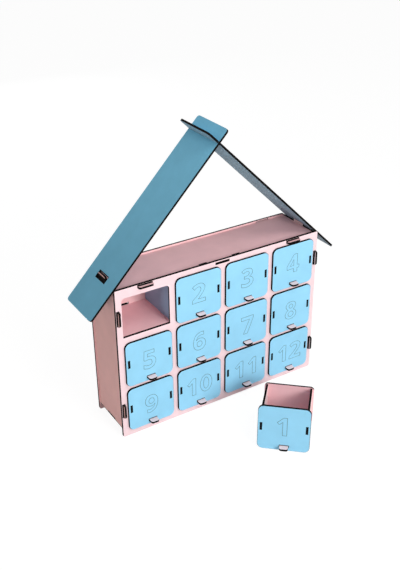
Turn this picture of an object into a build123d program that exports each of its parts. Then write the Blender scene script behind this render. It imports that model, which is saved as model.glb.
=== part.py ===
"""Flat-pack advent house: a slotted-board cabinet under a crossed roof, with twelve drawers.

Frame in millimetres: +X to the right, +Y from the front to the back, +Z up. The origin lies on the
front panel's lower edge, halfway through its thickness, under the middle of the columns.
"""

import os
from math import atan2, cos, degrees, radians, sin, tan

from build123d import *

os.makedirs("parts", exist_ok=True)

# Sheet and joints
board = 3.0  # thickness of the sheet that every piece is cut from
tab_length = 22.0
tab_reach = 5.0  # how far a through-tab stands out past the front panel
rear_reach = 4.0  # and past the back panel
tab_radius = 3.0
slot_play = 1.7  # a loose slot is this much wider than the sheet
slot_end_play = 1.0  # and this much longer than its tab
rear_slot_play = 0.4  # the sides sit tighter in the back panel
shelf_slot_play = 3.2  # and the shelves looser
lap_play = 0.3
butt_play = 0.2  # between the end of a board and the side it stops at
panel_lean = 0.3  # the front panel has settled this far to the left on its tabs

# Cabinet
columns = 4
rows = 3
column_pitch = 80.0
row_pitch = 74.5
inner_depth = 73.0  # clear depth between the front and back panels
sill_height = 13.5  # ground to the floor of the bottom row
top_trim = 3.6  # the top row is this much lower than the others
rim_height = 2.6  # panels above the top
end_margin = 5.0  # panel beyond the outer columns
panel_radius = 3.0
rear_crown_radius = 8.0  # upper corners of the back panel, which stay inside the roof's edge
side_inset = 1.9  # outer face of a side from the end of the panel
side_tab_height = 31.0  # middle of a side's tab above the floor of its row
post_width = 8.6  # panel between two windows
rail_height = 15.5  # panel between a window and the floor of the row above
window_radius = 5.0
peg_slot_length = 12.0
peg_slot_spacing = 54.0
peg_slot_setback = 4.2  # middle of the slot behind the front panel

# Roof
roof_pitch = 45.4
roof_lean = 0.6  # degrees: the crossed pair has settled this far to the left
roof_side_gap = 0.75  # board's long edge from the panel
roof_radius = 4.5
ridge_overrun = 20.6  # board beyond the crossing
eave_overhang = 49.0  # board beyond the side it rests on, along the slope
right_ridge_extra = 1.2  # the right board is a little longer at both ends
right_eave_extra = 4.5
roof_tab_height = 9.0  # a side's upright tab above the top
roof_tab_radius = 4.5
roof_slot_play = 1.3
roof_slot_end_play = 2.5
seat_gap = 0.1

# Drawer
front_gap_x = 7.8  # between the fronts of neighbouring columns
front_gap_z = 4.8
front_radius = 8.0
front_drop = 4.7  # front plate below the underside of the base
box_side_gap = 2.8  # box wall from the edge of the window
wall_drop = 4.4  # top of the wall below the top of the window
wall_tab_length = 12.0
wall_tab_height = 31.65  # middle of the wall's tab above the underside of the base
back_side_gap = 0.6
back_drop = 3.1
back_radius = 5.0
rear_gap = 5.0  # closed drawer from the back panel
tongue_width = 12.0
tongue_offset = 1.2  # to the right of the plate's middle
tongue_reach = 8.6
tongue_radius = 3.2
tongue_play = 0.8  # free height above the tongue in its slot
base_tab_length = 12.0
slide_lift = 0.2  # drawer above its shelf
face_gap = 0.1  # front plate from the front panel

# Drawer that stands out on the ground, seen from above
loose_x = 8.9
loose_y = -141.9
loose_turn = 42.4

# Positions that follow from the sizes above
column_x = [column_pitch * (i - (columns - 1) / 2) for i in range(columns)]
row_floor = [sill_height + row_pitch * i for i in range(rows)]
outer_x = (column_x[0], column_x[-1])
divider_x = [column_pitch * (i - columns / 2) for i in range(1, columns)]
middle_y = (board + inner_depth) / 2
panel_width = columns * column_pitch + 2 * end_margin
top_z = row_floor[-1] + row_pitch - top_trim
panel_height = top_z + rim_height
side_x = panel_width / 2 - side_inset - board / 2
side_foot = sill_height - board
window_width = column_pitch - post_width
window_height = row_pitch - rail_height
deck_width = 2 * side_x - board - 2 * butt_play
side_outer = side_x + board / 2
side_inner = side_x - board / 2


def save(part: Part, name: str) -> None:
    """Write one sub-part under its own name."""
    part.label = name
    export_step(part, f"parts/{name}.step")


# Panels: the drawers' windows are only in the front one
for name, panel_y, lean, side_play, crown_radius in (
        ("front_panel", 0.0, panel_lean, slot_play, panel_radius),
        ("back_panel", inner_depth + board, 0.0, rear_slot_play, rear_crown_radius)):
    with BuildPart() as panel:
        with BuildSketch(Plane.XZ.offset(-panel_y)) as outline:
            with Locations((-lean, panel_height / 2)):
                Rectangle(panel_width, panel_height)
            fillet(outline.vertices().group_by(Axis.Y)[-1], crown_radius)
            fillet(outline.vertices().group_by(Axis.Y)[0], panel_radius)
            # upright slots for the sides, two to a side
            with Locations(*[(x - lean, row_floor[i] + side_tab_height)
                             for x in (-side_x, side_x) for i in (0, -1)]):
                Rectangle(board + side_play, tab_length + slot_end_play, mode=Mode.SUBTRACT)
            # level slots for the top: the outer two are loose, the middle one is tight
            with Locations(*[(x - lean, top_z - board) for x in outer_x]):
                Rectangle(tab_length + slot_end_play, board + slot_play,
                          align=(Align.CENTER, Align.MIN), mode=Mode.SUBTRACT)
            with Locations((0, top_z - board)):
                Rectangle(tab_length, board, align=(Align.CENTER, Align.MIN), mode=Mode.SUBTRACT)
            if name == "front_panel":
                with Locations(*[(x - lean, z) for x in column_x for z in row_floor]):
                    RectangleRounded(window_width, window_height, window_radius,
                                     align=(Align.CENTER, Align.MIN), mode=Mode.SUBTRACT)
                    Rectangle(window_width, window_height / 2,
                              align=(Align.CENTER, Align.MIN), mode=Mode.SUBTRACT)
            else:
                with Locations(*[(x, z - board) for x in outer_x for z in row_floor]):
                    Rectangle(tab_length + slot_end_play, board + shelf_slot_play,
                              align=(Align.CENTER, Align.MIN), mode=Mode.SUBTRACT)
        extrude(amount=board / 2, both=True)
    save(panel.part, name)

# Sides: one strip makes a front tab and a back tab together
through_depth = tab_reach + 2 * board + inner_depth + rear_reach
through_middle = middle_y + (rear_reach - tab_reach) / 2
roof_tab_top = top_z + roof_tab_height
for name, x in (("left_side", -side_x), ("right_side", side_x)):
    with BuildPart() as side:
        with BuildSketch(Plane.YZ.offset(x)):
            with Locations((middle_y, side_foot)):
                Rectangle(inner_depth, top_z - side_foot, align=(Align.CENTER, Align.MIN))
                Rectangle(tab_length + slot_end_play, board,
                          align=(Align.CENTER, Align.MIN), mode=Mode.SUBTRACT)
            with Locations(*[(through_middle, row_floor[i] + side_tab_height) for i in (0, -1)]):
                RectangleRounded(through_depth, tab_length, tab_radius)
            with Locations((middle_y, roof_tab_top)):
                RectangleRounded(tab_length, roof_tab_top - top_z + 2 * tab_length, roof_tab_radius,
                                 align=(Align.CENTER, Align.MAX))
        extrude(amount=board / 2, both=True)
    save(side.part, name)

# Top: rounded through-tabs at the ends, a flush one in the middle
with BuildPart() as top_panel:
    with BuildSketch(Plane.XY.offset(top_z - board)):
        with Locations((0, middle_y)):
            Rectangle(deck_width, inner_depth)
            Rectangle(tab_length, inner_depth + 2 * board)
        with Locations(*[(x, through_middle) for x in outer_x]):
            RectangleRounded(tab_length, through_depth, tab_radius)
        with Locations((0, board / 2 + peg_slot_setback)):
            with GridLocations(peg_slot_spacing, 0, 2, 1):
                Rectangle(peg_slot_length, board, mode=Mode.SUBTRACT)
    extrude(amount=board)
save(top_panel.part, "top_panel")

# Bottom: a tab in each side's notch and two through the back
rear_half = inner_depth / 2 + board + rear_reach
with BuildPart() as bottom_panel:
    with BuildSketch(Plane.XY.offset(side_foot)):
        with Locations((0, middle_y)):
            Rectangle(deck_width, inner_depth)
            Rectangle(2 * side_outer, tab_length)
        with Locations(*[(x, middle_y) for x in outer_x]):
            RectangleRounded(tab_length, rear_half, tab_radius, align=(Align.CENTER, Align.MIN))
    extrude(amount=board)
save(bottom_panel.part, "bottom_panel")

# Shelves and dividers lap each other: shelves are cut from the front, dividers from the back
lap_slot = board + lap_play
for name, floor_z in (("shelf_lower", row_floor[1]), ("shelf_upper", row_floor[2])):
    with BuildPart() as shelf:
        with BuildSketch(Plane.XY.offset(floor_z - board)):
            with Locations((0, middle_y)):
                Rectangle(deck_width, inner_depth)
            with Locations(*[(x, middle_y) for x in outer_x]):
                RectangleRounded(tab_length, rear_half, tab_radius, align=(Align.CENTER, Align.MIN))
            with Locations(*[(x, middle_y + lap_play / 2) for x in divider_x]):
                Rectangle(lap_slot, inner_depth / 2 + lap_play,
                          align=(Align.CENTER, Align.MAX), mode=Mode.SUBTRACT)
        extrude(amount=board)
    save(shelf.part, name)

with BuildPart() as dividers:
    for x in divider_x:
        with BuildSketch(Plane.YZ.offset(x)):
            with Locations((middle_y, sill_height)):
                Rectangle(inner_depth, top_z - board - sill_height, align=(Align.CENTER, Align.MIN))
            with Locations(*[(middle_y - lap_play / 2, z - board / 2) for z in row_floor[1:]]):
                Rectangle(inner_depth / 2 + lap_play, lap_slot,
                          align=(Align.MIN, Align.CENTER), mode=Mode.SUBTRACT)
        extrude(amount=board / 2, both=True)
save(dividers.part, "dividers")

# Roof: two boards rest on the sides' outer edges and are halved into each other at the ridge
left_slope = radians(roof_pitch + roof_lean)
right_slope = radians(roof_pitch - roof_lean)
roof_width = inner_depth - 2 * roof_side_gap
ridge_to_side = side_outer / cos(radians(roof_pitch))
apex_angle = left_slope + right_slope
halving = board / sin(apex_angle) + board / abs(tan(apex_angle)) + lap_play
left_rise = board / 2 / cos(left_slope)
right_rise = board / 2 / cos(right_slope)
ridge_x = ((side_outer * (tan(right_slope) - tan(left_slope)) + right_rise - left_rise)
           / (tan(left_slope) + tan(right_slope)))
ridge_z = top_z + seat_gap + left_rise + (side_outer + ridge_x) * tan(left_slope)
for name, way, slope, overrun, overhang in (
        ("roof_left", 1, left_slope, ridge_overrun, eave_overhang),
        ("roof_right", -1, right_slope, ridge_overrun + right_ridge_extra, eave_overhang + right_eave_extra)):
    on_slope = Plane(origin=(ridge_x, middle_y, ridge_z), x_dir=(way * cos(slope), 0, sin(slope)),
                     z_dir=(-way * sin(slope), 0, cos(slope)))
    # the upright tab crosses the sloping board, so its slot is longer than the sheet is thick
    slant = board / 2 * tan(slope) + roof_slot_play
    slot_high = -(side_inner + way * ridge_x) / cos(slope) + slant
    slot_low = -(side_outer + way * ridge_x) / cos(slope) - slant
    with BuildPart() as roof:
        with BuildSketch(on_slope):
            with Locations((overrun, 0)):
                RectangleRounded(overrun + ridge_to_side + overhang, roof_width, roof_radius,
                                 align=(Align.MAX, Align.CENTER))
            with Locations((0, -lap_play / 2)):
                Rectangle(halving, roof_width / 2 + lap_play,
                          align=(Align.CENTER, Align.MIN), mode=Mode.SUBTRACT)
            with Locations(((slot_high + slot_low) / 2, 0)):
                Rectangle(slot_high - slot_low, tab_length + roof_slot_end_play, mode=Mode.SUBTRACT)
        extrude(amount=board / 2, both=True)
    save(roof.part, name)

# One drawer about its own origin: base's underside, middle of the front plate's rear face
front_width = column_pitch - front_gap_x
front_height = row_pitch - front_gap_z
box_depth = board + inner_depth - rear_gap
wall_x = window_width / 2 - box_side_gap - board / 2
wall_height = window_height - wall_drop
wall_run = box_depth - board
base_middle = wall_run / 2

with BuildPart() as drawer_front:
    with BuildSketch(Plane.XZ):
        with Locations((0, -front_drop)):
            RectangleRounded(front_width, front_height, front_radius, align=(Align.CENTER, Align.MIN))
        with Locations((-wall_x, wall_tab_height), (wall_x, wall_tab_height)):
            Rectangle(board, wall_tab_length, mode=Mode.SUBTRACT)
        with Locations((tongue_offset, 0)):
            Rectangle(tongue_width + slot_end_play, board + tongue_play,
                      align=(Align.CENTER, Align.MIN), mode=Mode.SUBTRACT)
    extrude(amount=board)

with BuildPart() as drawer_base:
    with BuildSketch(Plane.XY):
        with Locations((0, base_middle)):
            Rectangle(2 * wall_x - board, wall_run)
            Rectangle(2 * wall_x + board, base_tab_length)
            Rectangle(base_tab_length, wall_run / 2 + board, align=(Align.CENTER, Align.MIN))
        with Locations((tongue_offset, -board - tongue_reach)):
            RectangleRounded(tongue_width, board + tongue_reach + base_middle, tongue_radius,
                             align=(Align.CENTER, Align.MIN))
    extrude(amount=board)

with BuildPart() as drawer_sides:
    for x in (-wall_x, wall_x):
        with BuildSketch(Plane.YZ.offset(x)):
            with Locations((base_middle, 0)):
                Rectangle(wall_run, wall_height, align=(Align.CENTER, Align.MIN))
                Rectangle(base_tab_length, board, align=(Align.CENTER, Align.MIN), mode=Mode.SUBTRACT)
            with Locations((base_middle, wall_tab_height)):
                Rectangle(wall_run + 2 * board, wall_tab_length)
        extrude(amount=board / 2, both=True)

with BuildPart() as drawer_back:
    with BuildSketch(Plane.XZ.offset(-wall_run)):
        Rectangle(window_width - 2 * back_side_gap, window_height - back_drop,
                  align=(Align.CENTER, Align.MIN))
        with Locations((-wall_x, wall_tab_height), (wall_x, wall_tab_height)):
            Rectangle(board, wall_tab_length, mode=Mode.SUBTRACT)
        Rectangle(base_tab_length, board, align=(Align.CENTER, Align.MIN), mode=Mode.SUBTRACT)
    extrude(amount=-board)
    upper = drawer_back.edges().filter_by(Axis.Y).group_by(Axis.Z)[-1]
    fillet(upper, back_radius)

# Drawers count along each row from the left, top row first; the first one stands on the ground,
# on the lower edges of its front and back plates
lean = atan2(front_drop, box_depth)
homes = [Pos(loose_x, loose_y, front_drop * cos(lean)) * Rot(0, 0, -loose_turn) * Rot(-degrees(lean), 0, 0)]
homes += [Pos(x, -board / 2 - face_gap, z + slide_lift) for z in reversed(row_floor) for x in column_x][1:]
kit = {"front": drawer_front, "base": drawer_base, "sides": drawer_sides, "back": drawer_back}
for number, home in enumerate(homes, start=1):
    for piece, source in kit.items():
        save(source.part.moved(home), f"drawer_{number}_{piece}")
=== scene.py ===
"""Looks of the flat-pack advent house: painted boards, burnt edges, engraved numbers, studio."""

import logging
import math
from dataclasses import dataclass
from enum import Enum

import bmesh
import bpy
import numpy as np
from mathutils import Matrix, Vector
from mathutils.geometry import delaunay_2d_cdt


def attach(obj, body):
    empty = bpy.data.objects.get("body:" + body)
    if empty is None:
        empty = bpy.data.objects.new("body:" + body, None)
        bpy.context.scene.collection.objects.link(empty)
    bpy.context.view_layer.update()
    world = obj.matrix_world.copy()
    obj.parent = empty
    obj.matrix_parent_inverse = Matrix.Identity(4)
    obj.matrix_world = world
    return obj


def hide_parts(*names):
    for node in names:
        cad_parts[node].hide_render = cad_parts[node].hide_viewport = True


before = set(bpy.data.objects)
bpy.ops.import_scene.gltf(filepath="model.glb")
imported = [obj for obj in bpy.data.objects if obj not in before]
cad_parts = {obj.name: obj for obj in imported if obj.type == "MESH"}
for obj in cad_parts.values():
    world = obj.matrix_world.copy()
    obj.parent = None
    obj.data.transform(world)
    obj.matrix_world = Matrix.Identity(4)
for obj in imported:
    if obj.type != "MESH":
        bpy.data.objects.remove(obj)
LOG = logging.getLogger("advent_house")
MM = 0.001  # metres in a millimetre
BOARD = 3.0  # thickness of the sheet, in millimetres
PLATE_DROP = 4.7  # a drawer's front plate below the underside of its base, in millimetres
FLAT_TOLERANCE = 1e-5  # for dividing a flat face into triangles, in millimetres
WELD_GAP = 1e-7  # points nearer to each other than this become one, in metres
TINY = 1e-9  # a length or a rise under this counts as none
MITRE_LEAST = 0.35  # keeps the mitre of a sharp corner short
OVAL_KNOTS = 8  # points that an ellipse goes through
CORNERS = np.array([(-1, -1), (1, -1), (1, 1), (-1, 1)])  # signs at the corners of a rectangle

Loop = np.ndarray
Triple = tuple[float, float, float]


class Paint(Enum):
    """Colours of the sheet, as linear red, green and blue. The first pink and the first blue are
    the paints; the paler and deeper pinks and blues are copies of them that paint in light and
    shade, and the slate is the roof boards' greyer underside.
    """

    PINK = (0.940, 0.575, 0.595)
    # painted light: a paler copy of the pink for the front panel, standing in for the strong light
    # on its face
    PALE_PINK = (0.930, 0.705, 0.735)
    # painted light: a paler copy of the pink for the lit faces of the drawers' boxes and the sides'
    # inner faces
    BLUSH = (0.960, 0.740, 0.740)
    # painted light: a brighter copy of the pink for the bottom and the shelves, standing in for
    # more light on the room floors
    WARM_PINK = (0.985, 0.625, 0.660)
    # painted light: a brighter copy of the pink for the back panel's face into the rooms
    ROSE = (0.985, 0.650, 0.660)
    # painted shade: a deeper copy of the pink for the sides' outer faces, which stand in shade
    DEEP_PINK = (0.930, 0.550, 0.520)
    BLUE = (0.315, 0.665, 0.890)
    # painted shade: a darker copy of the blue for the roof boards' upper faces
    DEEP_BLUE = (0.190, 0.495, 0.675)
    # painted shade: a darker, greyer copy of the blue for the dividers, which stand in deep shade
    # in the rooms
    DULL_BLUE = (0.300, 0.455, 0.630)
    SLATE = (0.290, 0.440, 0.530)


class Facing(Enum):
    """Which way a board's main face looks, as a direction in the frame."""

    RIGHTWARD = (1.0, 0.0, 0.0)
    LEFTWARD = (-1.0, 0.0, 0.0)
    BACKWARD = (0.0, 1.0, 0.0)
    UPWARD = (0.0, 0.0, 1.0)


class Way(Enum):
    """Which roof board is meant, as the sign of its rise along x."""

    LEFT = 1.0
    RIGHT = -1.0


class Group(Enum):
    """Face groups of an engraved plate, in the order of its material slots."""

    FACE = 0
    EDGE = 1
    GROOVE = 2


def node(tree: bpy.types.NodeTree, kind: str, **settings: object) -> bpy.types.Node:
    """Add one shader node.

    Args:
        tree: node tree that gets the node.
        kind: Blender's name for the node's type.
        settings: properties of the node, or socket names mapped to their values.

    Returns:
        The new node.
    """
    made = tree.nodes.new(kind)
    for key, value in settings.items():
        if hasattr(made, key):
            setattr(made, key, value)
        else:
            made.inputs[key.replace("_", " ")].default_value = value
    return made


def blank(name: str) -> tuple[bpy.types.Material, bpy.types.NodeTree, bpy.types.Node]:
    """Start a material with nodes.

    Args:
        name: name of the material.

    Returns:
        The material, its node tree and its shader.
    """
    made = bpy.data.materials.new(name)
    made.use_nodes = True
    return made, made.node_tree, made.node_tree.nodes["Principled BSDF"]


def noise(tree: bpy.types.NodeTree, place: bpy.types.Node, **settings: float) -> bpy.types.Node:
    """Add noise on Object coordinates.

    Args:
        tree: node tree of the finish.
        place: its texture coordinates.
        settings: sockets of the noise mapped to their values.

    Returns:
        The noise.
    """
    made = node(tree, "ShaderNodeTexNoise", **settings)
    tree.links.new(place.outputs["Object"], made.inputs["Vector"])
    return made


def two_tones(tree: bpy.types.NodeTree, streak: bpy.types.Node, stops: tuple[float, float],
              tones: tuple[Triple, Triple]) -> bpy.types.Node:
    """Add a ramp from one tone to another over a noise.

    Args:
        tree: node tree of the finish.
        streak: the noise.
        stops: values of the noise at which each tone is full.
        tones: the two colours.

    Returns:
        The ramp, whose colour runs from the first tone to the second.
    """
    made = node(tree, "ShaderNodeValToRGB")
    for element, stop, tone in zip(made.color_ramp.elements, stops, tones):
        element.position = stop
        element.color = (*tone, 1.0)
    tree.links.new(streak.outputs["Fac"], made.inputs["Fac"])
    return made


@dataclass(frozen=True)
class Band:
    """Slice of space between two parallel planes, such as the part of a tab in its slot.

    Places are in millimetres along the direction.
    """

    along: Triple
    start: float
    end: float

    def mask(self, tree: bpy.types.NodeTree, place: bpy.types.Node) -> bpy.types.Node:
        """Add the test for points in the slice: their part along its direction is between its ends.

        Args:
            tree: node tree of the finish.
            place: its texture coordinates.

        Returns:
            Node whose value is 1 in the slice.
        """
        part = node(tree, "ShaderNodeVectorMath", operation="DOT_PRODUCT")
        part.inputs[1].default_value = self.along
        tree.links.new(place.outputs["Object"], part.inputs[0])
        near = node(tree, "ShaderNodeMath", operation="COMPARE")
        near.inputs[1].default_value = (self.start + self.end) / 2 * MM
        near.inputs[2].default_value = (self.end - self.start) / 2 * MM
        tree.links.new(part.outputs["Value"], near.inputs[0])
        return near


@dataclass(frozen=True)
class Patch:
    """Spot where two slices of space cross, such as the scorch around a slot."""

    one: Band
    other: Band

    def mask(self, tree: bpy.types.NodeTree, place: bpy.types.Node) -> bpy.types.Node:
        """Add the test for points in both slices: the product of the two tests.

        Args:
            tree: node tree of the finish.
            place: its texture coordinates.

        Returns:
            Node whose value is 1 in the spot.
        """
        both = node(tree, "ShaderNodeMath", operation="MULTIPLY")
        for socket, band in zip(both.inputs, (self.one, self.other)):
            tree.links.new(band.mask(tree, place).outputs["Value"], socket)
        return both


@dataclass(frozen=True)
class BoardFinish:
    """Matt paint on a board's two broad faces and a burnt, streaked cut all round its edge.

    The paint is darkened like the cut in the listed slices and spots: painted shade where tabs pass
    through slots and round dark slot gaps, scorch along some cut edges and a dark band along a
    side's foot.
    The face that looks the other way may have a paint of its own, on some boards a paler copy that
    paints in light. With no facing direction the whole surface is painted. Noise scales are per
    metre.
    """

    paint: Paint
    facing: Triple | None = None
    soot: tuple[Band | Patch, ...] = ()
    rear_paint: Paint | None = None
    broad_share: float = 0.7
    mottle: float = 0.035
    cloud_scale: float = 38.0
    cloud_detail: float = 3.0
    cloud_roughness: float = 0.6
    cloud_range: tuple[float, float] = (0.3, 0.7)
    stipple_mm: float = 0.9
    stipple_detail: float = 2.0
    stipple_height_mm: float = 0.02
    paint_roughness: float = 0.58
    char_dark: Triple = (0.002, 0.0015, 0.0015)
    char_brown: Triple = (0.008, 0.006, 0.0055)
    char_scale: float = 750.0
    char_detail: float = 3.0
    char_stops: tuple[float, float] = (0.35, 0.75)
    char_roughness: float = 0.82
    gloss: float = 0.06

    def coat(self, tree: bpy.types.NodeTree, place: bpy.types.Node) -> bpy.types.Node:
        """Add the paint: its colour times a tone that wanders about 1 in soft clouds.

        Args:
            tree: node tree of the finish.
            place: its texture coordinates.

        Returns:
            Node whose vector is the colour, and whose first input takes another paint.
        """
        cloud = noise(tree, place, Scale=self.cloud_scale, Detail=self.cloud_detail,
                      Roughness=self.cloud_roughness)
        low, high = self.cloud_range
        tone = node(tree, "ShaderNodeMapRange", From_Min=low, From_Max=high,
                    To_Min=1.0 - self.mottle, To_Max=1.0 + self.mottle)
        tree.links.new(cloud.outputs["Fac"], tone.inputs["Value"])
        made = node(tree, "ShaderNodeVectorMath", operation="SCALE")
        made.inputs[0].default_value = self.paint.value
        tree.links.new(tone.outputs["Result"], made.inputs["Scale"])
        return made

    def stipple(self, tree: bpy.types.NodeTree, place: bpy.types.Node) -> bpy.types.Node:
        """Add the fine grain of the paint as a bump.

        Args:
            tree: node tree of the finish.
            place: its texture coordinates.

        Returns:
            The bump.
        """
        grain = noise(tree, place, Scale=1.0 / (self.stipple_mm * MM), Detail=self.stipple_detail)
        bump = node(tree, "ShaderNodeBump", Strength=1.0, Distance=self.stipple_height_mm * MM)
        tree.links.new(grain.outputs["Fac"], bump.inputs["Height"])
        return bump

    def painted(self, tree: bpy.types.NodeTree, place: bpy.types.Node,
                along: bpy.types.Node) -> bpy.types.Node:
        """Add the test for paint: the normal's part along the facing is large and no painted shade,
        scorch or dark band is there.

        Args:
            tree: node tree of the finish.
            place: its texture coordinates.
            along: the normal's part along the facing direction.

        Returns:
            Node whose value is 1 on paint and 0 on burnt board.
        """
        size = node(tree, "ShaderNodeMath", operation="ABSOLUTE")
        tree.links.new(along.outputs["Value"], size.inputs[0])
        made = node(tree, "ShaderNodeMath", operation="GREATER_THAN")
        made.inputs[1].default_value = self.broad_share
        tree.links.new(size.outputs["Value"], made.inputs[0])
        for spot in self.soot:
            whole = made
            made = node(tree, "ShaderNodeMath", operation="SUBTRACT", use_clamp=True)
            tree.links.new(whole.outputs["Value"], made.inputs[0])
            tree.links.new(spot.mask(tree, place).outputs["Value"], made.inputs[1])
        return made

    def char(self, tree: bpy.types.NodeTree, place: bpy.types.Node) -> bpy.types.Node:
        """Add the burnt cut: dark brown streaks about a millimetre apart.

        Args:
            tree: node tree of the finish.
            place: its texture coordinates.

        Returns:
            The colour ramp whose colour is the burnt cut.
        """
        streak = noise(tree, place, Scale=self.char_scale, Detail=self.char_detail)
        return two_tones(tree, streak, self.char_stops, (self.char_dark, self.char_brown))

    def material(self, name: str) -> bpy.types.Material:
        """Build the finish.

        Args:
            name: name of the material.

        Returns:
            The new material.
        """
        made, tree, shader = blank(name)
        link = tree.links.new
        shader.inputs["Specular IOR Level"].default_value = self.gloss
        place = node(tree, "ShaderNodeTexCoord")
        coat = self.coat(tree, place)
        link(self.stipple(tree, place).outputs["Normal"], shader.inputs["Normal"])
        if self.facing is None:
            link(coat.outputs["Vector"], shader.inputs["Base Color"])
            shader.inputs["Roughness"].default_value = self.paint_roughness
            return made

        along = node(tree, "ShaderNodeVectorMath", operation="DOT_PRODUCT")
        along.inputs[1].default_value = self.facing
        link(place.outputs["Normal"], along.inputs[0])
        painted = self.painted(tree, place, along)
        if self.rear_paint:
            rear = node(tree, "ShaderNodeMath", operation="LESS_THAN")
            rear.inputs[1].default_value = 0.0
            link(along.outputs["Value"], rear.inputs[0])
            choice = node(tree, "ShaderNodeMix", data_type="VECTOR")
            choice.inputs["A"].default_value = self.paint.value
            choice.inputs["B"].default_value = self.rear_paint.value
            link(rear.outputs["Value"], choice.inputs["Factor"])
            link(choice.outputs["Result"], coat.inputs[0])

        both = node(tree, "ShaderNodeMix", data_type="RGBA")
        link(painted.outputs["Value"], both.inputs["Factor"])
        link(self.char(tree, place).outputs["Color"], both.inputs["A"])
        link(coat.outputs["Vector"], both.inputs["B"])
        link(both.outputs["Result"], shader.inputs["Base Color"])
        sheen = node(tree, "ShaderNodeMapRange", To_Min=self.char_roughness,
                     To_Max=self.paint_roughness)
        link(painted.outputs["Value"], sheen.inputs["Value"])
        link(sheen.outputs["Result"], shader.inputs["Roughness"])
        return made

    def char_material(self, name: str) -> bpy.types.Material:
        """Build a material that is burnt cut all over.

        Args:
            name: name of the material.

        Returns:
            The new material.
        """
        made, tree, shader = blank(name)
        ramp = self.char(tree, node(tree, "ShaderNodeTexCoord"))
        tree.links.new(ramp.outputs["Color"], shader.inputs["Base Color"])
        shader.inputs["Roughness"].default_value = self.char_roughness
        shader.inputs["Specular IOR Level"].default_value = self.gloss
        return made


@dataclass(frozen=True)
class GrooveFinish:
    """Scorched line of an engraved number: paint burnt to a dull slate tone."""

    dark: Triple = (0.035, 0.060, 0.075)
    pale: Triple = (0.080, 0.150, 0.190)
    scale: float = 420.0
    detail: float = 2.0
    stops: tuple[float, float] = (0.3, 0.7)
    roughness: float = 0.7

    def material(self, name: str) -> bpy.types.Material:
        """Build the finish, its tone wandering along the line.

        Args:
            name: name of the material.

        Returns:
            The new material.
        """
        made, tree, shader = blank(name)
        place = node(tree, "ShaderNodeTexCoord")
        wander = noise(tree, place, Scale=self.scale, Detail=self.detail)
        ramp = two_tones(tree, wander, self.stops, (self.dark, self.pale))
        tree.links.new(ramp.outputs["Color"], shader.inputs["Base Color"])
        shader.inputs["Roughness"].default_value = self.roughness
        return made


@dataclass(frozen=True)
class Glyph:
    """One digit as closed outlines in millimetres, x across and z above the baseline.

    A knot is (x, z) on a curve, or (x, z, 1) at a corner.
    """

    outlines: tuple[tuple[tuple[float, ...], ...], ...]
    steps: int = 6

    def loops(self) -> list[Loop]:
        """Sample every outline.

        Each span is a cubic Hermite curve. Its tangent at a curve knot is half the chord between
        the two neighbours, and at a corner it is the span's own chord, so a span between two
        corners is straight.

        Returns:
            One closed loop of points for each outline.
        """
        found = []
        for outline in self.outlines:
            knots = np.array([knot[:2] for knot in outline])
            corner = np.array([len(knot) > 2 for knot in outline])[:, None]
            after = np.roll(knots, -1, axis=0)
            chord = after - knots
            swing = (after - np.roll(knots, 1, axis=0)) / 2
            leave = np.where(corner, chord, swing)
            arrive = np.where(np.roll(corner, -1, axis=0), chord, np.roll(swing, -1, axis=0))
            t = (np.arange(self.steps) / self.steps)[None, :, None]
            points = ((2 * t**3 - 3 * t**2 + 1) * knots[:, None]
                      + (t**3 - 2 * t**2 + t) * leave[:, None]
                      + (3 * t**2 - 2 * t**3) * after[:, None]
                      + (t**3 - t**2) * arrive[:, None])
            found.append(points.reshape(-1, 2))
        return found

    def turned(self, height: float) -> "Glyph":
        """Turn the digit upside down within a line of the given height."""
        return Glyph(tuple(tuple((-k[0], height - k[1], *k[2:]) for k in o) for o in self.outlines))


def oval(x: float, z: float, half_width: float,
         half_height: float) -> tuple[tuple[float, float], ...]:
    """Knots of an ellipse: its centre plus the half sizes times cosine and sine of even angles."""
    turn = np.arange(OVAL_KNOTS) * 2 * math.pi / OVAL_KNOTS
    return tuple(zip(x + half_width * np.cos(turn), z + half_height * np.sin(turn)))


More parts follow.
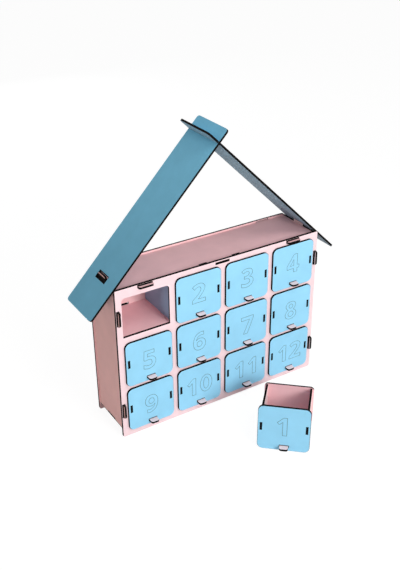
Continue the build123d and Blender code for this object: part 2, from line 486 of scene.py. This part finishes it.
C = 1  # the third value of a corner knot
NUMBER_HEIGHT = 28.6  # a nine is a six turned within this height, in millimetres
SIX = Glyph((((6.9, 28.9, C), (7.0, 23.7, C), (2.6, 23.9), (-1.8, 22.4), (-4.4, 19.4),
    (-5.1, 16.4, C), (-2.2, 18.5), (1.6, 19.0), (6.4, 17.4), (9.6, 12.4), (9.3, 5.8),
    (5.6, 1.2), (0.0, -0.3), (-5.6, 1.4), (-9.2, 6.4), (-10.0, 13.2), (-8.4, 20.9),
    (-4.2, 26.6), (1.4, 28.9)), oval(0.0, 9.9, 4.3, 4.7)))
DIGITS = {
    "0": Glyph((oval(0.0, 14.6, 10.0, 14.8), oval(0.0, 14.6, 4.5, 9.7))),
    "1": Glyph((((-1.7, 0, C), (4.3, 0, C), (4.3, 28.9, C), (-0.4, 28.9, C), (-9.4, 20.8, C),
        (-6.7, 17.5, C), (-2.7, 20.7), (-1.7, 21.6, C)),)),
    "2": Glyph((((-10.8, 0, C), (10.4, 0, C), (10.4, 5.4, C), (-1.4, 5.6, C), (2.2, 9.6),
        (6.6, 14.8), (9.3, 20.6), (8.6, 25.6), (4.6, 28.7), (-0.6, 29.4), (-5.8, 28.2),
        (-10.4, 25.3, C), (-7.2, 21.0, C), (-4.0, 23.3), (-0.8, 24.2), (2.3, 23.0), (3.0, 19.9),
        (1.2, 15.8), (-3.2, 10.9), (-10.8, 4.6, C)),)),
    "3": Glyph((((-9.9, 26.3, C), (-5.2, 29.0), (0.0, 29.4), (5.4, 28.0), (8.3, 24.0),
        (7.6, 19.2), (3.4, 16.0, C), (7.8, 13.9), (9.9, 9.2), (8.4, 4.2), (3.6, 0.6),
        (-2.6, -0.4), (-9.9, 1.2, C), (-9.9, 6.9, C), (-5.8, 5.5), (-1.2, 5.0), (2.6, 6.2),
        (3.9, 9.0), (2.4, 12.1), (-1.6, 13.3), (-5.4, 13.4, C), (-5.4, 17.6, C), (-1.6, 17.7),
        (1.9, 19.2), (2.9, 21.8), (1.2, 24.2), (-2.2, 24.7), (-6.9, 22.6, C)),)),
    "4": Glyph((((1.5, 0, C), (7.7, 0, C), (7.7, 5.8, C), (11.1, 5.8, C), (11.1, 10.8, C),
        (7.7, 10.8, C), (7.7, 28.8, C), (1.3, 28.8, C), (-10.5, 11.2, C), (-10.5, 5.8, C),
        (1.5, 5.8, C)), ((1.5, 10.8, C), (1.5, 20.4, C), (-5.0, 10.8, C)))),
    "5": Glyph((((-8.1, 29.0, C), (7.3, 29.0, C), (7.3, 23.6, C), (-2.9, 23.6, C),
        (-3.4, 18.7, C), (0.2, 19.0), (5.4, 17.6), (8.9, 13.6), (9.3, 8.4), (6.4, 2.4),
        (0.4, -0.4), (-4.8, -0.2), (-9.3, 1.3, C), (-9.3, 6.9, C), (-5.0, 5.3), (-0.4, 4.7),
        (2.8, 6.4), (3.5, 9.4), (2.0, 13.2), (-2.2, 14.2), (-6.4, 13.5), (-9.0, 14.6, C)),)),
    "6": SIX,
    "7": Glyph((((-9.1, 28.3, C), (12.0, 28.3, C), (12.0, 24.9, C), (1.8, 0, C), (-5.0, 0, C),
        (5.2, 22.7, C), (-9.1, 22.7, C)),)),
    "8": Glyph((((0.2, 29.2), (5.6, 28.0), (8.6, 24.2), (8.2, 19.6), (4.9, 15.1, C),
        (8.6, 12.0), (10.1, 7.6), (8.4, 2.6), (3.6, -0.1), (-3.2, -0.1), (-8.2, 2.6),
        (-9.9, 7.4), (-8.4, 11.8), (-4.6, 14.9, C), (-8.2, 19.4), (-8.5, 24.0), (-5.4, 28.0)),
        oval(0.2, 21.4, 3.6, 3.5), oval(0.3, 8.1, 4.9, 4.5))),
    "9": SIX.turned(NUMBER_HEIGHT),
}
# Digits of the longer numbers across the plate, and numbers that stand off the line of their row
DIGIT_X = {10: (-11.4, 10.5), 11: (-9.0, 14.2), 12: (-9.7, 12.4)}
BASELINES = {6: 16.4, 7: 16.1}


def rounded_box(width: float, height: float, radius: float, foot: float, steps: int = 10) -> Loop:
    """Outline of a rectangle with round corners.

    Every corner is a quarter circle: its centre plus the radius times cosine and sine of an angle.

    Args:
        width: full width, centred on zero.
        height: full height.
        radius: corner radius.
        foot: height of the lower edge.
        steps: points in each corner.

    Returns:
        Closed loop of points, anticlockwise.
    """
    quarter = np.linspace(0, math.pi / 2, steps)
    turn = (np.arange(4)[:, None] * math.pi / 2 + quarter).ravel()
    side = np.repeat([1, -1, -1, 1], steps)
    rise = np.repeat([1, 1, -1, -1], steps)
    x = side * (width / 2 - radius) + radius * np.cos(turn)
    z = foot + height / 2 + rise * (height / 2 - radius) + radius * np.sin(turn)
    return np.stack([x, z], axis=1)


def square_box(x: float, z: float, width: float, height: float) -> Loop:
    """Outline of a plain rectangle about a centre."""
    return np.array([(x, z)]) + CORNERS * np.array([width, height]) / 2


def moved_out(loop: Loop, distance: float) -> Loop:
    """Move a closed loop sideways: each point goes along the mitre of its two edges' normals.

    Args:
        loop: closed loop of points.
        distance: how far, to the right of the loop's direction.

    Returns:
        The moved loop.
    """
    ahead = np.roll(loop, -1, axis=0) - loop
    ahead /= np.maximum(np.linalg.norm(ahead, axis=1), TINY)[:, None]
    right = np.stack([ahead[:, 1], -ahead[:, 0]], axis=1)
    before = np.roll(right, 1, axis=0)
    spread = np.maximum(1 + np.sum(right * before, axis=1), MITRE_LEAST)
    mitre = (right + before) / spread[:, None]
    return loop + distance * mitre


def inside(points: np.ndarray, loops: list[Loop]) -> np.ndarray:
    """Tell which points lie inside an odd number of loops.

    A point is inside a loop when a ray to the right crosses its edges an odd number of times.

    Args:
        points: points to test.
        loops: closed loops.

    Returns:
        One truth value for each point.
    """
    odd = np.zeros(len(points), dtype=bool)
    for loop in loops:
        a, b = loop, np.roll(loop, -1, axis=0)
        spans = (a[:, 1] > points[:, None, 1]) != (b[:, 1] > points[:, None, 1])
        rise = np.where(np.abs(b[:, 1] - a[:, 1]) < TINY, 1.0, b[:, 1] - a[:, 1])
        cross = a[:, 0] + (points[:, None, 1] - a[:, 1]) / rise * (b[:, 0] - a[:, 0])
        odd ^= (np.sum(spans & (points[:, None, 0] < cross), axis=1) % 2).astype(bool)
    return odd


class Sheet:
    """Mesh being put together from flat faces with holes and from strips between loops."""

    def __init__(self) -> None:
        """Start with nothing."""
        self.points: list[np.ndarray] = []
        self.faces: list[list[int]] = []
        self.groups: list[int] = []
        self.count = 0

    def add(self, points: np.ndarray, faces: np.ndarray, group: Group) -> None:
        """Add points with their faces.

        Args:
            points: places in millimetres.
            faces: rows of points, counted from the first of these.
            group: face group.
        """
        self.points.append(points)
        self.faces += (self.count + faces).tolist()
        self.groups += [group.value] * len(faces)
        self.count += len(points)

    def flat(self, loops: list[Loop], depth: float, group: Group) -> None:
        """Add a flat face inside an odd number of the loops, as triangles.

        Args:
            loops: closed loops that bound the face and its holes.
            depth: place of the face along y, from the plate's rear face.
            group: face group.
        """
        at = np.concatenate(loops)
        sizes = np.array([len(loop) for loop in loops])
        first = np.repeat(np.cumsum(sizes) - sizes, sizes)
        here = np.arange(len(at))
        after = first + (here - first + 1) % np.repeat(sizes, sizes)
        edges = np.stack([here, after], axis=1).tolist()
        found, _, faces, *_ = delaunay_2d_cdt(at.tolist(), edges, [], 0, FLAT_TOLERANCE)
        spot, faces = np.array(found), np.array(faces)
        kept = faces[inside(spot[faces].mean(axis=1), loops)]
        self.add(np.insert(spot, 1, depth, axis=1), kept, group)

    def strip(self, near: Loop, near_depth: float, far: Loop, far_depth: float,
              group: Group) -> None:
        """Add a closed band of quadrilaterals between two loops with the same number of points.

        Args:
            near: one loop.
            near_depth: its place along y, from the plate's rear face.
            far: the other loop.
            far_depth: its place along y.
            group: face group.
        """
        count = len(near)
        i = np.arange(count)
        j = (i + 1) % count
        points = np.concatenate([np.insert(loop, 1, depth, axis=1)
                                 for loop, depth in ((near, near_depth), (far, far_depth))])
        self.add(points, np.stack([i, j, j + count, i + count], axis=1), group)

    def mesh(self, name: str, place: Matrix) -> bpy.types.Mesh:
        """Weld the faces into one closed mesh, in metres and in the frame.

        Args:
            name: name of the mesh.
            place: where the plate's own origin lies, in metres.

        Returns:
            The new mesh.
        """
        made = bpy.data.meshes.new(name)
        spot = np.concatenate(self.points) * MM
        turn = np.array(place)
        made.from_pydata((spot @ turn[:3, :3].T + turn[:3, 3]).tolist(), [], self.faces)
        made.polygons.foreach_set("material_index", self.groups)
        work = bmesh.new()
        work.from_mesh(made)
        bmesh.ops.remove_doubles(work, verts=work.verts, dist=WELD_GAP)
        bmesh.ops.recalc_face_normals(work, faces=work.faces)
        work.to_mesh(made)
        work.free()
        return made


@dataclass
class DrawerFront:
    """Engraved front plate of one drawer; sizes in millimetres about the drawer's own origin."""

    number: int
    place: Matrix
    baseline: float
    width: float = 72.2
    height: float = 69.7
    radius: float = 8.0
    drop: float = PLATE_DROP
    thick: float = BOARD
    eased: float = 0.5
    burnt: float = 0.3
    wall_x: float = 31.4
    wall_z: float = 31.65
    wall_tab: float = 12.0
    tongue_slot: tuple[float, float] = (13.0, 3.8)
    tongue_x: float = 1.2
    groove_width: float = 0.55
    groove_depth: float = 0.30

    def number_loops(self) -> list[Loop]:
        """Set the digits of the number side by side.

        Returns:
            Outlines of the whole number on the plate.
        """
        loops = []
        for digit, x in zip(str(self.number), DIGIT_X.get(self.number, (0.0,))):
            loops += [loop + np.array([x, self.baseline]) for loop in DIGITS[digit].loops()]
        return loops

    def build(self) -> bpy.types.Mesh:
        """Make the plate: faces with slots, an eased front edge, burnt slot rims and V grooves.

        The front face is bounded by the rim moved in, the slots moved out and both banks of every
        line of the number. Strips join these to the rim, the slots and the bottoms of the grooves.

        Returns:
            The plate's mesh.
        """
        rim = rounded_box(self.width, self.height, self.radius, -self.drop)
        brow = rounded_box(self.width - 2 * self.eased, self.height - 2 * self.eased,
                           self.radius - self.eased, self.eased - self.drop)
        slots = [square_box(side * self.wall_x, self.wall_z, self.thick, self.wall_tab)
                 for side in (-1, 1)]
        slots.append(square_box(self.tongue_x, self.tongue_slot[1] / 2, *self.tongue_slot))
        mouths = [moved_out(slot, self.burnt) for slot in slots]
        grooves = [(moved_out(line, side * self.groove_width / 2), line)
                   for line in self.number_loops() for side in (1, -1)]
        front = -self.thick
        plate = Sheet()
        plate.flat([brow, *mouths, *(bank for bank, _ in grooves)], front, Group.FACE)
        plate.flat([rim, *slots], 0.0, Group.FACE)
        plate.strip(brow, front, rim, front + self.eased, Group.EDGE)
        plate.strip(rim, front + self.eased, rim, 0.0, Group.EDGE)
        for mouth, slot in zip(mouths, slots):
            plate.strip(mouth, front, slot, front + self.burnt, Group.EDGE)
            plate.strip(slot, front + self.burnt, slot, 0.0, Group.EDGE)
        for bank, line in grooves:
            plate.strip(bank, front, line, front + self.groove_depth, Group.GROOVE)
        return plate.mesh(f"front_plate_{self.number}", self.place)

    def dress(self, finishes: list[bpy.types.Material]) -> None:
        """Show the plate in place of the CAD node and let it move with its drawer.

        Args:
            finishes: materials in the order of the face groups.
        """
        made = bpy.data.objects.new(f"front_plate_{self.number}", self.build())
        bpy.context.scene.collection.objects.link(made)
        for finish in finishes:
            made.data.materials.append(finish)
        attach(made, f"drawer_{self.number}")
        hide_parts(f"drawer_{self.number}_front")


def paint_node(name: str, material: bpy.types.Material) -> None:
    """Give a CAD node one finish.

    Args:
        name: name of the node.
        material: its finish.
    """
    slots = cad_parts[name].data.materials
    slots.clear()
    slots.append(material)


@dataclass
class Drawers:
    """The twelve drawers: one stands on the ground, the others are in their windows.

    Sizes in millimetres, the loose drawer's turn in degrees.
    """

    count: int = 12
    columns: int = 4
    rows: int = 3
    loose: int = 1
    column_pitch: float = 80.0
    row_pitch: float = 74.5
    sill: float = 13.5
    lift: float = 0.2
    plate_y: float = -1.6
    loose_x: float = 8.9
    loose_y: float = -141.9
    loose_turn: float = 42.4
    drop: float = PLATE_DROP
    depth: float = 71.0
    board: float = BOARD
    top_baseline: float = 19.5
    low_baseline: float = 15.2

    def lean(self) -> float:
        """Angle at which the loose drawer tips back onto its rear plate."""
        return math.atan2(self.drop, self.depth)

    def loose_turning(self) -> Matrix:
        """Rotation of the loose drawer in the frame."""
        turn = Matrix.Rotation(-math.radians(self.loose_turn), 4, "Z")
        return turn @ Matrix.Rotation(-self.lean(), 4, "X")

    def place(self, number: int) -> Matrix:
        """Find where a drawer's own origin lies.

        Args:
            number: the drawer's number.

        Returns:
            Its place in the frame, in metres.
        """
        if number == self.loose:
            stand = Vector((self.loose_x, self.loose_y, self.drop * math.cos(self.lean())))
            return Matrix.Translation(stand * MM) @ self.loose_turning()
        row, column = divmod(number - 1, self.columns)
        x = (column - (self.columns - 1) / 2) * self.column_pitch
        z = self.sill + (self.rows - 1 - row) * self.row_pitch + self.lift
        return Matrix.Translation(Vector((x, self.plate_y, z)) * MM)

    def baseline(self, number: int) -> float:
        """Height of the number above the underside of the drawer's base."""
        usual = self.top_baseline if number <= self.columns else self.low_baseline
        return BASELINES.get(number, usual)

    def tongue_slot(self, number: int) -> Band:
        """Find the slice of a drawer's tongue that lies in its front plate's slot, darkened as
        painted shade.

        Args:
            number: the drawer's number.

        Returns:
            The slice.
        """
        place = self.place(number)
        along = place.to_3x3() @ Vector(Facing.BACKWARD.value)
        rear = along.dot(place.translation) / MM
        return Band(tuple(along), rear - self.board, rear)

    def box_finishes(self, number: int, label: str) -> dict[str, bpy.types.Material]:
        """Build the finishes of a drawer's pink pieces, turned as that drawer is.

        Args:
            number: a drawer's number.
            label: start of the materials' names.

        Returns:
            The material of each piece.
        """
        turning = self.place(number).to_3x3()
        # painted light: the base's upper face and the sides' faces that look along x get a paler
        # pink than the rest
        boards = {"base": (Facing.UPWARD, Paint.BLUSH), "sides": (Facing.RIGHTWARD, Paint.BLUSH),
                  "back": (Facing.BACKWARD, Paint.PINK)}
        # painted shade: the tongue is darkened where it lies in the front plate's slot
        soot = (self.tongue_slot(number),)
        made = {}
        for piece, (facing, paint) in boards.items():
            outward = tuple(turning @ Vector(facing.value))
            finish = BoardFinish(paint, outward, soot, Paint.PINK)
            made[piece] = finish.material(f"{label}_{piece}")
        return made

    def dress(self) -> None:
        """Engrave the fronts and paint the boxes."""
        finish = BoardFinish(Paint.BLUE)
        fronts = [finish.material("blue_paint"), finish.char_material("burnt_cut"),
                  GrooveFinish().material("scorched_line")]
        loose = self.box_finishes(self.loose, "pink_loose")
        level = self.box_finishes(self.count, "pink")
        for number in range(1, self.count + 1):
            DrawerFront(number, self.place(number), self.baseline(number)).dress(fronts)
            for piece, material in (loose if number == self.loose else level).items():
                paint_node(f"drawer_{number}_{piece}", material)
            LOG.info("drawer %d dressed", number)


@dataclass
class House:
    """Cabinet and roof, shown as the CAD boards with their finishes.

    Sizes in millimetres, the roof's pitch and lean in degrees. A slot is given by its length and
    its middle across it; a scorch, a painted shade or the dark band along a side's foot by how far
    it reaches from a cut.
    """

    roof_pitch: float = 45.4
    roof_lean: float = 0.6
    ridge_x: float = -3.44
    ridge_z: float = 400.99
    back_y: float = 76.0
    board: float = BOARD
    side_x: float = 161.6
    side_foot: float = 10.5
    left_edge: float = -165.3
    top_edge: float = 236.0
    room: tuple[float, float] = (-156.0, -84.6)
    room_floor: float = 162.5
    flush_tab: tuple[float, float] = (22.0, 231.9)
    peg_slots: tuple[float, float] = (-27.0, 27.0)
    peg_slot: tuple[float, float] = (12.0, 5.7)
    roof_mouth_half: tuple[float, float] = (5.0, 12.25)
    tab_bright: float = 3.3
    # painted shade: how far a tab is darkened beyond the panel it passes through
    soot_spread: float = 3.0
    top_soot_spread: float = 1.4
    rim_scorch: float = 0.6
    top_scorch: float = 0.75
    roof_scorch: float = 0.8
    spot_scorch: float = 0.45
    foot_scorch: float = 1.0

    def slope(self, way: Way) -> float:
        """Slope of a roof board in radians: the pitch, and the lean added on the left."""
        return math.radians(self.roof_pitch + way.value * self.roof_lean)

    def roof_up(self, way: Way) -> Triple:
        """Direction that the upper face of a roof board looks in."""
        return -way.value * math.sin(self.slope(way)), 0.0, math.cos(self.slope(way))

    def roof_slot(self, way: Way, under: float) -> Band:
        """Find the slice of a side's upright tab that is darkened as painted shade, up to its clean
        tip above the roof board.

        Args:
            way: which roof board.
            under: how far the painted shade goes below the middle of the board.

        Returns:
            The slice.
        """
        along = self.roof_up(way)
        middle = along[0] * self.ridge_x + along[2] * self.ridge_z
        return Band(along, middle - under, middle + self.tab_bright)

    def roof_mouth(self, way: Way) -> Patch:
        """Find the dark spot around the slot of a roof board, where the tab of its side crosses it:
        scorch, and painted shade standing in for the gap of a wider slot.

        Args:
            way: which roof board.

        Returns:
            The scorched spot.
        """
        slope = self.slope(way)
        along = (way.value * math.cos(slope), 0.0, math.sin(slope))
        ridge = along[0] * self.ridge_x + along[2] * self.ridge_z
        run = (self.side_x + way.value * self.ridge_x) / math.cos(slope)
        middle = ridge - run + self.roof_scorch / 2
        high, wide = (half + self.roof_scorch for half in self.roof_mouth_half)
        return Patch(Band(along, middle - high, middle + high),
                     Band(Facing.BACKWARD.value, self.back_y / 2 - wide, self.back_y / 2 + wide))

    def panel_slots(self, spread: float) -> tuple[Band, Band]:
        """Find the slices of a through-tab that are darkened as painted shade, in the two panels
        and beyond them.

        Args:
            spread: how far the painted shade goes beyond a panel.

        Returns:
            The slices in front and behind.
        """
        backward, outward = Facing.BACKWARD.value, self.board / 2 + spread
        return (Band(backward, -outward, self.board / 2),
                Band(backward, self.back_y - self.board / 2, self.back_y + outward))

    def spot(self, x: float, length: float, across: Triple, middle: float) -> Patch:
        """Find the painted shade around a slot as wide as the board is thick, standing in for the
        slot's dark gap.

        Args:
            x: middle of the slot.
            length: its length along x.
            across: direction across it.
            middle: its middle in that direction.

        Returns:
            The darkened spot.
        """
        wide, high = length / 2 + self.spot_scorch, self.board / 2 + self.spot_scorch
        return Patch(Band(Facing.RIGHTWARD.value, x - wide, x + wide),
                     Band(across, middle - high, middle + high))

    def front_scorch(self) -> tuple[Band | Patch, ...]:
        """Find the scorch and painted shade on the front panel.

        Returns:
            Scorch along its left and upper edges and the lower edge of the open room's window, and
            painted shade round the flush tab's slot.
        """
        rightward, upward = Facing.RIGHTWARD.value, Facing.UPWARD.value
        return (Band(rightward, self.left_edge, self.left_edge + self.rim_scorch),
                Band(upward, self.top_edge - self.top_scorch, self.top_edge),
                self.spot(0.0, self.flush_tab[0], upward, self.flush_tab[1]),
                Patch(Band(rightward, *self.room),
                      Band(upward, self.room_floor - self.top_scorch, self.room_floor)))

    def roof_finish(self, way: Way) -> BoardFinish:
        """Finish of a roof board: a darker copy of the blue on top as painted shade, darkened round
        its slot, and greyer underneath.
        """
        return BoardFinish(Paint.DEEP_BLUE, self.roof_up(way), (self.roof_mouth(way),), Paint.SLATE)

    def side_finish(self, way: Way, facing: Facing, under: float) -> BoardFinish:
        """Finish a side: painted shade on its tabs, a dark band along its foot, a deeper copy of
        the pink outside as painted shade and a paler one inside as painted light.

        Args:
            way: the roof board above it.
            facing: the way its outer face looks.
            under: how far the painted shade of its upright tab goes below the middle of the roof
                board.

        Returns:
            The finish.
        """
        foot = Band(Facing.UPWARD.value, self.side_foot, self.side_foot + self.foot_scorch)
        soot = (*self.panel_slots(self.soot_spread), foot, self.roof_slot(way, under))
        return BoardFinish(Paint.DEEP_PINK, facing.value, soot, Paint.BLUSH)

    def dress(self) -> None:
        """Paint every board of the house."""
        backward, upward = Facing.BACKWARD.value, Facing.UPWARD.value
        # painted shade: the decks' tabs are darkened in and beyond the panels' slots
        deck = BoardFinish(Paint.WARM_PINK, upward, self.panel_slots(self.soot_spread))
        pegs = (self.spot(x, self.peg_slot[0], backward, self.peg_slot[1]) for x in self.peg_slots)
        # painted shade: the top panel's tab is darkened in and just beyond the front panel's slot,
        # and round its peg slots
        top_painted_shade = (self.panel_slots(self.top_soot_spread)[0], *pegs)
        # painted light and shade: paler pinks on the front panel, the back panel's face into the
        # rooms and the decks; deeper pink on the sides; darker blues on the roof and the dividers
        boards = {
            ("front_panel",): BoardFinish(Paint.PALE_PINK, backward, self.front_scorch()),
            ("back_panel",): BoardFinish(Paint.PINK, backward, rear_paint=Paint.ROSE),
            ("left_side",): self.side_finish(Way.LEFT, Facing.LEFTWARD, self.board),
            ("right_side",): self.side_finish(Way.RIGHT, Facing.RIGHTWARD, 0.0),
            ("top_panel",): BoardFinish(Paint.PINK, upward, top_painted_shade),
            ("bottom_panel", "shelf_upper", "shelf_lower"): deck,
            ("dividers",): BoardFinish(Paint.DULL_BLUE, Facing.RIGHTWARD.value),
            ("roof_left",): self.roof_finish(Way.LEFT),
            ("roof_right",): self.roof_finish(Way.RIGHT),
        }
        for names, finish in boards.items():
            material = finish.material(f"paint_{names[0]}")
            for name in names:
                paint_node(name, material)
                LOG.info("%s painted", name)


@dataclass(frozen=True)
class Lamp:
    """One square soft lamp; places and edge in metres, power in watts."""

    name: str
    at: Triple
    aim: Triple
    size: float
    power: float

    def hang(self) -> None:
        """Put the lamp up, out of the camera's sight."""
        data = bpy.data.lights.new(self.name, "AREA")
        data.size = self.size
        data.energy = self.power
        made = bpy.data.objects.new(self.name, data)
        made.location = self.at
        ahead = Vector(self.aim) - Vector(self.at)
        made.rotation_euler = ahead.to_track_quat("-Z", "Y").to_euler()
        made.visible_camera = False
        bpy.context.scene.collection.objects.link(made)


@dataclass
class Studio:
    """Floor, light and camera; sizes in metres, the camera's heading and dip in degrees."""

    lamps: tuple[Lamp, ...] = (
        Lamp("key", (0.09, -1.55, 0.70), (0.04, 0.0, 0.12), 0.5, 15.2),
        Lamp("front_top", (0.42, -0.75, 1.35), (0.0, 0.0, 0.20), 0.8, 5.3),
        Lamp("left_fill", (-0.95, -0.30, 0.055), (-0.16, 0.04, 0.10), 0.1, 0.72),
        Lamp("rear_fill", (0.20, 1.70, 0.60), (0.0, 0.08, 0.15), 0.8, 3.0),
        Lamp("roof_glow", (-0.16, 0.02, 0.56), (-0.04, 0.04, 0.36), 0.2, 0.155),
    )
    ambient: float = 0.29
    floor_tint: Triple = (0.82, 0.80, 0.79)
    floor_roughness: float = 0.9
    floor_glow: float = 0.93
    floor_veil: float = 0.14
    floor_size: float = 8.0
    floor_drop: float = 0.0004
    camera_at: Triple = (-0.55987, -0.85223, 0.76614)
    camera_turn: float = 31.601
    camera_down: float = 29.251
    camera_roll: float = -0.00954
    focal_pixels: float = 842.37
    image_width: int = 400
    sensor_mm: float = 36.0
    sight: float = 50.0

    def camera(self) -> None:
        """Set the camera from its heading, its dip and its roll in radians."""
        turn, down = math.radians(self.camera_turn), math.radians(self.camera_down)
        ahead = Vector((math.sin(turn) * math.cos(down), math.cos(turn) * math.cos(down),
                        -math.sin(down)))
        right = Vector((math.cos(turn), -math.sin(turn), 0.0))
        up = right.cross(ahead)
        tilt = self.camera_roll
        across = math.cos(tilt) * right + math.sin(tilt) * up
        rise = math.cos(tilt) * up - math.sin(tilt) * right
        data = bpy.data.cameras.new("camera")
        data.sensor_fit = "HORIZONTAL"
        data.sensor_width = self.sensor_mm
        data.lens = self.focal_pixels / self.image_width * self.sensor_mm
        data.clip_end = self.sight
        made = bpy.data.objects.new("camera", data)
        turned = Matrix((across, rise, -ahead)).transposed().to_4x4()
        made.matrix_world = Matrix.Translation(self.camera_at) @ turned
        bpy.context.scene.collection.objects.link(made)
        bpy.context.scene.camera = made

    def floor(self) -> None:
        """Lay a pale floor that looks white to the camera and keeps a soft shadow."""
        corner = square_box(0.0, 0.0, self.floor_size, self.floor_size)
        spot = np.insert(corner, 2, -self.floor_drop, axis=1)
        mesh = bpy.data.meshes.new("floor")
        mesh.from_pydata(spot.tolist(), [], [[0, 1, 2, 3]])
        material, tree, shader = blank("pale_floor")
        shader.inputs["Base Color"].default_value = (*self.floor_tint, 1.0)
        shader.inputs["Roughness"].default_value = self.floor_roughness
        glow = node(tree, "ShaderNodeEmission", Strength=self.floor_glow)
        glow.inputs["Color"].default_value = (1.0, 1.0, 1.0, 1.0)
        veil = node(tree, "ShaderNodeBsdfDiffuse")
        veil.inputs["Color"].default_value = (*[self.floor_veil] * 3, 1.0)
        white = node(tree, "ShaderNodeAddShader")
        tree.links.new(glow.outputs["Emission"], white.inputs[0])
        tree.links.new(veil.outputs["BSDF"], white.inputs[1])
        mix = node(tree, "ShaderNodeMixShader")
        tree.links.new(self.seen(tree).outputs["Value"], mix.inputs["Fac"])
        tree.links.new(shader.outputs["BSDF"], mix.inputs[1])
        tree.links.new(white.outputs["Shader"], mix.inputs[2])
        tree.links.new(mix.outputs["Shader"], tree.nodes["Material Output"].inputs["Surface"])
        mesh.materials.append(material)
        made = bpy.data.objects.new("floor", mesh)
        bpy.context.scene.collection.objects.link(made)

    def seen(self, tree: bpy.types.NodeTree) -> bpy.types.Node:
        """Add the test for rays that look at the background: camera, glossy or transmission ones.

        Args:
            tree: node tree that gets the test.

        Returns:
            Node whose value is 1 for such a ray.
        """
        path = node(tree, "ShaderNodeLightPath")
        total = node(tree, "ShaderNodeMath", operation="ADD")
        tree.links.new(path.outputs["Is Camera Ray"], total.inputs[0])
        tree.links.new(path.outputs["Is Glossy Ray"], total.inputs[1])
        whole = node(tree, "ShaderNodeMath", operation="ADD", use_clamp=True)
        tree.links.new(total.outputs["Value"], whole.inputs[0])
        tree.links.new(path.outputs["Is Transmission Ray"], whole.inputs[1])
        return whole

    def world(self) -> None:
        """Light the scene evenly from all round; the camera sees white."""
        world = bpy.data.worlds.new("studio")
        bpy.context.scene.world = world
        world.use_nodes = True
        tree = world.node_tree
        back = tree.nodes["Background"]
        back.inputs["Color"].default_value = (1.0, 1.0, 1.0, 1.0)
        level = node(tree, "ShaderNodeMapRange", To_Min=self.ambient, To_Max=1.0)
        tree.links.new(self.seen(tree).outputs["Value"], level.inputs["Value"])
        tree.links.new(level.outputs["Result"], back.inputs["Strength"])

    def build(self) -> None:
        """Make the floor, the light and the camera."""
        bpy.context.scene.view_settings.view_transform = "Standard"
        self.floor()
        self.world()
        for lamp in self.lamps:
            lamp.hang()
        self.camera()


def main() -> None:
    """Build the studio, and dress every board."""
    logging.basicConfig(level=logging.INFO, format="%(name)s: %(message)s")
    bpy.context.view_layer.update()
    Studio().build()
    House().dress()
    Drawers().dress()
    LOG.info("boxes written")


if __name__ == "__main__":
    main()
